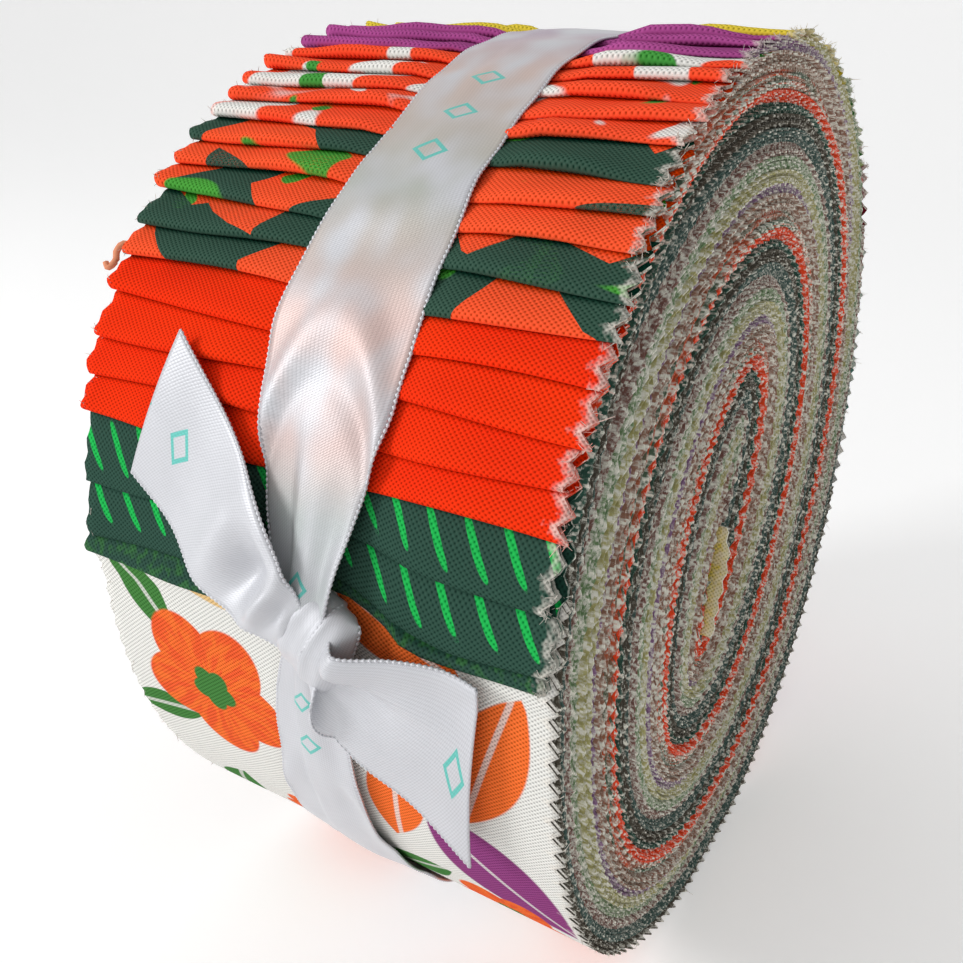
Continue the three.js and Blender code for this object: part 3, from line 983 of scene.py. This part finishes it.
@dataclass(frozen=True)
class Satin:
    """White satin ribbon that lets a little of the prints' colour through."""

    name: str = "satin"
    white: Colour = srgb(205, 206, 211)
    teal: Colour = srgb(104, 198, 188)
    rib: float = 0.3
    # Colour that shows through by share of the way round from the knot
    shows: tuple[tuple[float, Colour], ...] = (
        (0.0, srgb(210, 211, 216)), (0.72, srgb(204, 204, 210)), (0.775, srgb(180, 164, 180)),
        (0.82, srgb(204, 182, 174)), (0.875, srgb(182, 186, 178)), (0.915, srgb(208, 182, 176)),
        (0.95, srgb(206, 184, 180)), (0.97, srgb(190, 197, 196)),
    )

    def material(self) -> bpy.types.Material:
        """Satin with fine slanting floats and small woven-in lozenges."""
        tree = Tree(self.name)
        along, across = tree.mark("along"), tree.mark("across")
        floats = abs(((along + across * 0.6) * (math.pi / self.rib)).sine())
        rows = abs((across * (math.pi / (self.rib * 1.4))).sine())
        threads = floats * 0.6 + rows * 0.4
        through = tree.make(
            "ShaderNodeValToRGB", {"stops": list(self.shows)}, {0: along / RIBBON_ROUND})
        tone = tree.noise(tree.vector(along * 0.12, across * 0.16), 1.0, 1.0)
        colour = tree.mix(tone.below(0.55, 0.4), self.white, through)
        step = along / 7.0
        group = (step / 9.0).part().below(0.34, 0.002)
        lozenge = abs(step.part() - 0.5) * 4.2 + abs(across) * 0.42
        mark = abs(lozenge - 0.86).below(0.17, 0.06) * group
        colour = tree.mix(mark, colour, self.teal)
        # Painted shade: colour darker between the floats and rows, as well as the bump's relief
        colour = tree.shade(colour, 0.76 + threads * 0.24)
        tree.finish(
            {"Base Color": colour, "Roughness": 0.46, "Metallic": 0.28, "Specular IOR Level": 0.45,
             "Sheen Weight": 0.1, "Sheen Roughness": 0.35},
            threads, 0.35, 0.06)
        return tree.material


@dataclass(frozen=True)
class FreeEnd:
    """One free end of the ribbon: lines across it from the knot to the cut, dents and rolled side."""

    name: str
    length: float
    # Place along the roll, height above the knot and stand-off, for one side and then for the other
    rows: tuple[tuple[float, ...], ...]
    # Share of the length, share of the width, reach of both, height
    dents: tuple[tuple[float, ...], ...]
    # Share of the width where the side starts to roll up
    roll_from: float = 0.8
    # Share of the length, degrees that the side rolls up
    roll_rows: tuple[tuple[float, float], ...] = ((0.0, 0.0), (1.0, 0.0))
    # Steps: share of the length and of the width where each starts and where it dies out, height
    steps: tuple[tuple[float, ...], ...] = ()


UPPER_END = FreeEnd(
    "ribbon_upper_end", 33.0,
    ((1.0, -2.4, 3.0, 4.2, 3.0, 3.0), (-4.3, -0.6, 3.2, 2.6, 7.0, 3.6), (-11.2, 1.8, 2.2, -2.6, 13.6, 2.6),
     (-17.0, 7.2, 0.6, -9.4, 20.6, 1.2), (-22.6, 11.9, 1.0, -16.9, 28.3, 2.2)),
    ((0.36, 0.45, 0.09, 0.3, -2.6), (0.22, 0.5, 0.06, 0.4, 2.4), (0.38, 0.92, 0.16, 0.14, 1.5),
     (0.52, 0.45, 0.09, 0.4, 1.2), (0.04, 0.5, 0.08, 0.3, 1.2)),
)
LOWER_END = FreeEnd(
    "ribbon_lower_end", 30.0,
    ((6.2, 1.5, 2.4, 2.6, -5.6, 2.4), (10.2, 0.4, 2.6, 4.6, -10.6, 2.6), (15.2, 0.5, 1.6, 8.4, -15.0, 2.2),
     (20.0, 0.2, 0.9, 14.8, -19.8, 1.4), (24.2, -0.7, 1.2, 21.5, -26.0, 2.2)),
    ((0.2, 0.15, 0.2, 0.22, 1.2), (0.4, 0.5, 0.18, 0.25, -0.9), (0.68, 0.55, 0.22, 0.35, 0.9)),
    roll_from=0.72, roll_rows=((0.0, 300), (0.14, 270), (0.26, 90), (0.36, 0)),
    steps=((0.08, 0.3, 0.95, 0.4, 2.4),),
)


@dataclass
class Ribbon:
    """The tied ribbon: a band, a knot, two free ends and beaded selvedges."""

    form: RollForm
    width: float = 16.0
    thickness: float = 0.24
    knot_angle: float = 177.5
    knot_x: float = 4.7
    knot_up: float = -1.2
    knot_lean: float = 28.0
    knot_length: float = 11.0
    knot_radius: float = 62.0
    lift: float = 0.75
    columns: int = 29
    bead: float = 0.21
    bead_pitch: float = 0.62
    # Half the band's width by degrees past the knot, going down and round to it again from above
    half_rows: tuple[tuple[float, float], ...] = (
        (0, 3.0), (4, 3.5), (8, 4.3), (14, 5.3), (20, 5.8), (30, 6.6), (45, 7.6), (60, 8.0), (270, 8.1),
        (294, 7.5), (310, 7.6), (322, 8.4), (332, 8.8), (338, 8.2), (343, 7.2), (348, 5.9), (353, 4.5),
        (360, 3.0),
    )
    # Creases across the band: degrees past the knot, how far the sides bend away, reach, height
    creases: tuple[tuple[float, float, float, float], ...] = (
        (330.0, 12.0, 3.0, 0.7), (336.0, 9.0, 2.2, -0.5), (318.0, -5.0, 3.0, 0.3), (304.0, 4.0, 4.0, -0.25),
        (18.0, 8.0, 3.5, 0.4), (38.0, -6.0, 4.0, 0.3),
    )
    edges: list[np.ndarray] = field(default_factory=list)

    def near_knot(self, x: np.ndarray, up: np.ndarray, off: np.ndarray) -> np.ndarray:
        """Points by their place along the roll, height above the knot and stand-off."""
        return self.form.on_rim(x, self.knot_angle - np.degrees(up / self.knot_radius), off + self.lift)

    def sheet(
        self, name: str, points: np.ndarray, along: np.ndarray, across: np.ndarray
    ) -> bpy.types.Object:
        """Makes a sheet of a grid and keeps its two long sides for the selvedges."""
        self.edges += [points[:, 0], points[:, -1]]
        mesh = GridMesh(("along", "across"))
        mesh.add(points, along=along, across=across)
        return mesh.weld(name)

    def band(self) -> bpy.types.Object:
        """The band round the roll, drawn together in pleats at the knot."""
        past = np.linspace(2.0, 358.0, 320)[:, None]
        angle = self.knot_angle + past
        across = np.linspace(-1.0, 1.0, self.columns)[None, :]
        rows = np.array(self.half_rows)
        half = np.interp(past, rows[:, 0], rows[:, 1])
        gather = np.clip(1.0 - half / 8.0, 0.0, 1.0)
        step = ease((across + 0.36) / 0.16)
        pleat = gather * (2.2 * step - 1.6 * ease((across - 0.1) / 0.5) + 1.5 * ease((across - 0.6) / 0.4))
        near = np.minimum(past, 360.0 - past)
        rise = 1.5 * (1.0 - ease(near / 14.0)) + 0.7 * (1.0 - ease((360.0 - past) / 36.0))
        ripple = 0.12 * np.sin(past * 0.62 + across * 1.5) + 0.1 * np.sin(past * 0.21 - across * 2.4)
        for place, slant, wide, height in self.creases:
            ripple = ripple + height * np.exp(-(((past - place - slant * across**2) / wide) ** 2))
        lift = self.lift + pleat + rise + ripple - 0.2 * across**2
        points = self.form.on_rim(self.form.band_middle(angle) + across * half, angle, lift)
        points[..., 2] = np.maximum(points[..., 2], self.thickness)
        along = np.radians(past) * RIBBON_RADIUS
        return self.sheet("ribbon_band", points, along, across * self.width / 2.0)

    def free_end(self, end: FreeEnd) -> bpy.types.Object:
        """One free end, dented and rolled up near the knot."""
        table = np.array(end.rows)
        share = np.linspace(0.0, 1.0, 73)[:, None]
        across = np.linspace(0.0, 1.0, self.columns)[None, :]
        sides = smooth_rows(table, len(share))
        x1, up1, off1, x2, up2, off2 = (sides[:, column : column + 1] for column in range(6))
        span = np.hypot(x2 - x1, up2 - up1)
        rolls = np.array(end.roll_rows)
        roll = np.maximum(np.radians(np.interp(share, rolls[:, 0], rolls[:, 1])), 0.02)
        part = np.clip((across - end.roll_from) / (1.0 - end.roll_from), 0.0, 1.0)
        radius = span * (1.0 - end.roll_from) / roll
        reach = np.minimum(across, end.roll_from) + radius * np.sin(roll * part) / span
        off = off1 + (off2 - off1) * across + radius * (1.0 - np.cos(roll * part))
        for place, side, far, wide, height in end.dents:
            off = off + height * np.exp(-(((share - place) / far) ** 2) - ((across - side) / wide) ** 2)
        for start, side, stop, last, height in end.steps:
            gone = np.clip((share - start) / (stop - start), 0.0, 1.0)
            line = side + (last - side) * gone
            off = off + height * ease(gone * 5.0) * (1.0 - ease(gone)) * ease((line - across) / 0.1 + 0.5)
        points = self.near_knot(x1 + (x2 - x1) * reach, up1 + (up2 - up1) * reach, np.maximum(off, 0.5))
        return self.sheet(end.name, points, share * end.length - 150.0, (across - 0.5) * self.width)

    def knot(self) -> bpy.types.Object:
        """The wrap of the knot, which leans and shows one side of the ribbon across its middle."""
        turn = np.radians(np.linspace(-118.0, 118.0, 49))[:, None]
        across = np.linspace(-1.0, 1.0, self.columns)[None, :]
        lean = math.radians(self.knot_lean)
        half = 3.4 + 1.0 * np.cos(turn)
        reach = 5.4 * np.sin(turn)
        off = 0.8 + 3.4 * np.cos(turn) * (1.0 - 0.8 * across**4) + 0.5 * ease((across - 0.02) / 0.1)
        off = off + 0.16 * np.cos(across * 9.0) * np.cos(turn)
        x = self.knot_x + math.sin(lean) * reach + math.cos(lean) * across * half
        up = self.knot_up + math.cos(lean) * reach - math.sin(lean) * across * half
        points = self.near_knot(x, up, off)
        piece = self.sheet("ribbon_knot", points, turn * 6.0 - 220.0, across * self.width / 2.0)
        self.edges.append(points[4:-4, int(self.columns * 0.54)])
        return piece

    def selvedges(self) -> bpy.types.Object:
        """Beaded selvedges along the sides of every sheet."""
        mesh = GridMesh(("along", "across"))
        for edge in self.edges:
            walked = np.concatenate([[0.0], np.cumsum(np.linalg.norm(np.diff(edge, axis=0), axis=1))])
            stops = np.arange(0.0, walked[-1], self.bead_pitch / 4.0)
            line = np.stack([np.interp(stops, walked, edge[:, axis]) for axis in range(3)], axis=-1)
            radius = self.bead * (0.82 + 0.3 * np.sin(stops * (2.0 * math.pi / self.bead_pitch)))[:, None]
            points = tube(line, radius, 6)
            points[..., 2] = np.maximum(points[..., 2], 0.02)
            mesh.add(points, along=stops[:, None] - 300.0, across=9.0)
        return mesh.weld("ribbon_selvedges")

    def build(self) -> None:
        """Makes and dresses the ribbon's pieces."""
        satin = Satin().material()
        sheets = (
            (self.band(), RIBBON_ROUND, "stretched"),
            (self.free_end(UPPER_END), UPPER_END.length, "draped"),
            (self.free_end(LOWER_END), LOWER_END.length, "draped"),
            (self.knot(), self.knot_length, "gathered"),
        )
        selvedges = self.selvedges()
        for piece in [sheet for sheet, _, _ in sheets] + [selvedges]:
            piece.data.materials.append(satin)
            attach(piece, BODY)
            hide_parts(TIE_NODE)
        for piece, length, held in sheets:
            thicken(piece, self.thickness, False)
            LOG.info("%s: satin %.0f by %.0f mm", piece.name, self.width, length)


@dataclass(frozen=True)
class Studio:
    """Floor, lights and camera. The camera's place is from the middle of the roll's axis."""

    form: RollForm
    camera_from_axis: tuple[float, float, float] = (68.4, -136.3, 59.5)
    yaw: float = 30.67
    pitch: float = 22.53
    lens: float = 39.39

    def camera(self) -> None:
        """Sets the camera at the photograph's viewing angle."""
        data = bpy.data.cameras.new("camera")
        data.lens, data.sensor_width = self.lens, 36.0
        data.clip_start, data.clip_end = 0.005, 20.0
        camera = bpy.data.objects.new("camera", data)
        yaw, pitch = math.radians(self.yaw), math.radians(self.pitch)
        back = Vector((math.sin(yaw) * math.cos(pitch), -math.cos(yaw) * math.cos(pitch), math.sin(pitch)))
        middle = Vector((0.0, self.form.axis_y, self.form.axis_z))
        camera.location = (middle + Vector(self.camera_from_axis)) * MM
        camera.rotation_euler = (-back).to_track_quat("-Z", "Y").to_euler()
        bpy.context.scene.collection.objects.link(camera)
        bpy.context.scene.camera = camera

    def floor(self) -> None:
        """A wide pale floor that curves up far behind the roll."""
        turn = np.linspace(0.0, math.pi / 2.0, 25)
        ahead = np.concatenate([[-3000.0], 700.0 + 900.0 * np.sin(turn), [1600.0]])
        height = np.concatenate([[0.0], 900.0 - 900.0 * np.cos(turn), [4000.0]]) - 0.2
        profile = np.stack([np.zeros_like(ahead), ahead, height], axis=-1)
        points = profile[:, None] + np.array([[-4000.0, 0.0, 0.0], [4000.0, 0.0, 0.0]])
        sheet = GridMesh(())
        sheet.add(points)
        floor = sheet.weld("floor")
        tree = Tree("floor")
        tree.finish({"Base Color": (0.9, 0.9, 0.9, 1.0), "Roughness": 0.8, "Specular IOR Level": 0.1,
                     "Emission Color": (1.0, 1.0, 1.0, 1.0), "Emission Strength": 0.22})
        floor.data.materials.append(tree.material)

    def light(self, name: str, place: tuple[float, float, float], size: float, power: float) -> None:
        """A soft square light.

        Args:
            name: Its name.
            place: Where it stands, in metres; it faces the roll.
            size: Its side in metres.
            power: Its power in watts.
        """
        data = bpy.data.lights.new(name, "AREA")
        data.size, data.energy = size, power
        lamp = bpy.data.objects.new(name, data)
        lamp.location = place
        lamp.rotation_euler = (Vector((0.0, 0.0, 0.05)) - Vector(place)).to_track_quat("-Z", "Y").to_euler()
        bpy.context.scene.collection.objects.link(lamp)

    def build(self) -> None:
        """Makes the whole studio."""
        self.camera()
        self.floor()
        self.light("key", (-0.55, -0.6, 0.48), 0.26, 3.6)
        self.light("fill", (0.1, -0.9, 0.3), 0.6, 0.6)
        self.surroundings()
        bpy.context.scene.view_settings.view_transform = "Standard"

    def surroundings(self) -> None:
        """A pale world that is dim on the side of the shaded end."""
        world = bpy.data.worlds.new("studio")
        bpy.context.scene.world = world
        world.use_nodes = True
        nodes, links = world.node_tree.nodes, world.node_tree.links
        way = nodes.new("ShaderNodeTexCoord")
        split = nodes.new("ShaderNodeSeparateXYZ")
        dim = nodes.new("ShaderNodeMapRange")
        for socket, value in zip(range(1, 5), (0.1, 0.75, 0.72, 0.26)):
            dim.inputs[socket].default_value = value
        links.new(way.outputs["Generated"], split.inputs[0])
        links.new(split.outputs["X"], dim.inputs[0])
        links.new(dim.outputs[0], nodes["Background"].inputs[1])
        nodes["Background"].inputs[0].default_value = (1.0, 1.0, 1.0, 1.0)


def main() -> None:
    """Builds the roll, its ribbon and the studio."""
    logging.basicConfig(level=logging.INFO, format="%(message)s")
    form = RollForm()
    Studio(form).build()
    stack = StripStack(form)
    stack.build()
    Fray(stack.fringe).build()
    Ribbon(form).build()
    bpy.context.view_layer.update()


if __name__ == "__main__":
    main()
